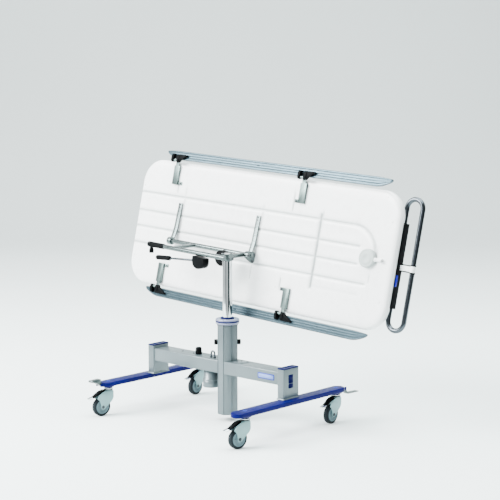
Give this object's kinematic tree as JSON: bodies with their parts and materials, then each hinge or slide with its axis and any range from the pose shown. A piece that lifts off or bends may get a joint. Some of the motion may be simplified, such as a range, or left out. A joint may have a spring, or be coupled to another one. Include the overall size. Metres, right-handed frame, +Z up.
{
  "type": "shower stretcher trolley",
  "caption": "Height-adjustable stretcher trolley: a shallow white tray with fold-down side rails, flipped up on its hinge above a hydraulic column and a base on braked castors.",
  "frame": {"origin": "centre of the bounding box on the floor, below the wheels", "axes": "+X along the tray towards the push handle, +Y across it towards the side that the tray flips up from, +Z up"},
  "size_m": [1.9266, 0.996, 1.3767],
  "materials": {
    "grey_paint": "satin grey-green paint",
    "blue_paint": "glossy deep blue paint",
    "blue_plastic": "dark blue moulding",
    "chrome": "bright chrome",
    "stainless": "satin stainless steel",
    "aluminium": "satin anodised, blue-grey",
    "white_plastic": "glossy near-white",
    "grey_plastic": "light grey",
    "black_plastic": "matt black",
    "zinc": "pale blue-grey cast finish",
    "wheel_rubber": "dark grey tyre with a blue-grey hub"
  },
  "bodies": {
    "base": {"foot_left": "blue_paint", "post_left": "grey_paint", "post_cap_left": "blue_plastic", "cross_beam_left": "grey_paint", "foot_right": "blue_paint", "post_right": "grey_paint", "post_cap_right": "blue_plastic", "cross_beam_right": "grey_paint", "column": "grey_paint", "column_flange": "grey_paint", "rod_seal": "blue_plastic", "pump_reservoir": "grey_paint", "pump_fitting": "chrome", "pump_valve_knob": "black_plastic", "guide_knob_left": "black_plastic", "guide_knob_right": "black_plastic"},
    "castor_front_left": {"castor_fork_front_left": "zinc"},
    "wheel_front_left": {"castor_wheel_front_left": "wheel_rubber"},
    "brake_front_left": {"castor_pedal_front_left": "black_plastic"},
    "castor_rear_left": {"castor_fork_rear_left": "zinc"},
    "wheel_rear_left": {"castor_wheel_rear_left": "wheel_rubber"},
    "brake_rear_left": {"castor_pedal_rear_left": "black_plastic"},
    "castor_front_right": {"castor_fork_front_right": "zinc"},
    "wheel_front_right": {"castor_wheel_front_right": "wheel_rubber"},
    "brake_front_right": {"castor_pedal_front_right": "black_plastic"},
    "castor_rear_right": {"castor_fork_rear_right": "zinc"},
    "wheel_rear_right": {"castor_wheel_rear_right": "wheel_rubber"},
    "brake_rear_right": {"castor_pedal_rear_right": "black_plastic"},
    "foot_pedal_left": {"foot_pedal_left": "stainless"},
    "foot_pedal_right": {"foot_pedal_right": "stainless"},
    "lift": {"lift_rod": "chrome", "head_block": "stainless"},
    "tilt_frame": {"near_bar": "stainless", "hinge_bar": "stainless", "end_crossbar": "stainless", "pivot_tube": "stainless", "stop_plate": "stainless", "end_grip": "black_plastic", "clamp_knob": "black_plastic", "release_housing": "black_plastic", "tilt_gearbox": "black_plastic"},
    "tilt_release": {"release_lever": "chrome", "release_grip": "black_plastic"},
    "tray": {"tray_shell": "white_plastic", "hinge_arm_left": "stainless", "hinge_arm_right": "stainless", "drain_cup": "grey_plastic", "drain_spout": "white_plastic", "push_handle": "stainless", "handle_mount": "black_plastic", "rail_bracket_upper_left": "stainless", "rail_bracket_upper_right": "stainless", "rail_bracket_lower_left": "stainless", "rail_bracket_lower_right": "stainless"},
    "rail_upper": {"side_rail_upper": "aluminium", "rail_cheeks_upper_left": "black_plastic", "rail_cheeks_upper_right": "black_plastic"},
    "rail_lower": {"side_rail_lower": "aluminium", "rail_cheeks_lower_left": "black_plastic", "rail_cheeks_lower_right": "black_plastic"}
  },
  "joints": [
    {"name": "castor_swivel_front_left", "type": "hinge", "parent": "base", "child": "castor_front_left", "pos_m": [-0.6176, -0.37, 0.15], "axis": [0, 0, 1], "continuous": true},
    {"name": "wheel_spin_front_left", "type": "hinge", "parent": "castor_front_left", "child": "wheel_front_left", "pos_m": [-0.62675, -0.41304, 0.05], "axis": [0.9781, -0.2079, 0], "continuous": true},
    {"name": "brake_pedal_front_left", "type": "hinge", "parent": "castor_front_left", "child": "brake_front_left", "pos_m": [-0.62176, -0.38956, 0.128], "axis": [-0.9781, 0.2079, 0], "range_deg": [0, 12]},
    {"name": "castor_swivel_rear_left", "type": "hinge", "parent": "base", "child": "castor_rear_left", "pos_m": [-0.6176, 0.326, 0.15], "axis": [0, 0, 1], "continuous": true},
    {"name": "wheel_spin_rear_left", "type": "hinge", "parent": "castor_rear_left", "child": "wheel_rear_left", "pos_m": [-0.6153, 0.28206, 0.05], "axis": [0.9986, 0.0523, 0], "continuous": true},
    {"name": "brake_pedal_rear_left", "type": "hinge", "parent": "castor_rear_left", "child": "brake_rear_left", "pos_m": [-0.61656, 0.30603, 0.128], "axis": [-0.9986, -0.0523, 0], "range_deg": [0, 12]},
    {"name": "castor_swivel_front_right", "type": "hinge", "parent": "base", "child": "castor_front_right", "pos_m": [0.3704, -0.37, 0.15], "axis": [0, 0, 1], "continuous": true},
    {"name": "wheel_spin_front_right", "type": "hinge", "parent": "castor_front_right", "child": "wheel_front_right", "pos_m": [0.36125, -0.41304, 0.05], "axis": [0.9781, -0.2079, 0], "continuous": true},
    {"name": "brake_pedal_front_right", "type": "hinge", "parent": "castor_front_right", "child": "brake_front_right", "pos_m": [0.36624, -0.38956, 0.128], "axis": [-0.9781, 0.2079, 0], "range_deg": [0, 12]},
    {"name": "castor_swivel_rear_right", "type": "hinge", "parent": "base", "child": "castor_rear_right", "pos_m": [0.3704, 0.326, 0.15], "axis": [0, 0, 1], "continuous": true},
    {"name": "wheel_spin_rear_right", "type": "hinge", "parent": "castor_rear_right", "child": "wheel_rear_right", "pos_m": [0.3727, 0.28206, 0.05], "axis": [0.9986, 0.0523, 0], "continuous": true},
    {"name": "brake_pedal_rear_right", "type": "hinge", "parent": "castor_rear_right", "child": "brake_rear_right", "pos_m": [0.37144, 0.30603, 0.128], "axis": [-0.9986, -0.0523, 0], "range_deg": [0, 12]},
    {"name": "foot_pedal_press_left", "type": "hinge", "parent": "base", "child": "foot_pedal_left", "pos_m": [-0.6176, -0.431, 0.17], "axis": [1, 0, 0], "range_deg": [0, 8]},
    {"name": "foot_pedal_press_right", "type": "hinge", "parent": "base", "child": "foot_pedal_right", "pos_m": [0.3704, 0.383, 0.17], "axis": [-1, 0, 0], "range_deg": [0, 8]},
    {"name": "column_lift", "type": "slide", "parent": "base", "child": "lift", "axis": [0, 0, 1], "range_m": [-0.25, 0.05]},
    {"name": "tray_pitch", "type": "hinge", "parent": "lift", "child": "tilt_frame", "pos_m": [-0.0736, -0.024, 0.861], "axis": [0, 1, 0], "range_deg": [-8, 4]},
    {"name": "tilt_release_lift", "type": "hinge", "parent": "tilt_frame", "child": "tilt_release", "pos_m": [-0.22328, -0.066, 0.83028], "axis": [0, 1, 0], "range_deg": [0, 4], "stiffness_Nm_per_rad": 1.5, "springref_deg": -28.65},
    {"name": "tray_flip", "type": "hinge", "parent": "tilt_frame", "child": "tray", "pos_m": [-0.0736, 0.108, 0.861], "axis": [0.9988, 0, -0.0488], "range_deg": [0, 101]},
    {"name": "side_rail_fold_upper", "type": "hinge", "parent": "tray", "child": "rail_upper", "pos_m": [-0.05249, 0.19509, 1.29281], "axis": [0.9988, 0, -0.0488], "range_deg": [0, 80]},
    {"name": "side_rail_fold_lower", "type": "hinge", "parent": "tray", "child": "rail_lower", "pos_m": [-0.08624, 0.06076, 0.60257], "axis": [-0.9988, 0, 0.0488], "range_deg": [0, 80]}
  ]
}
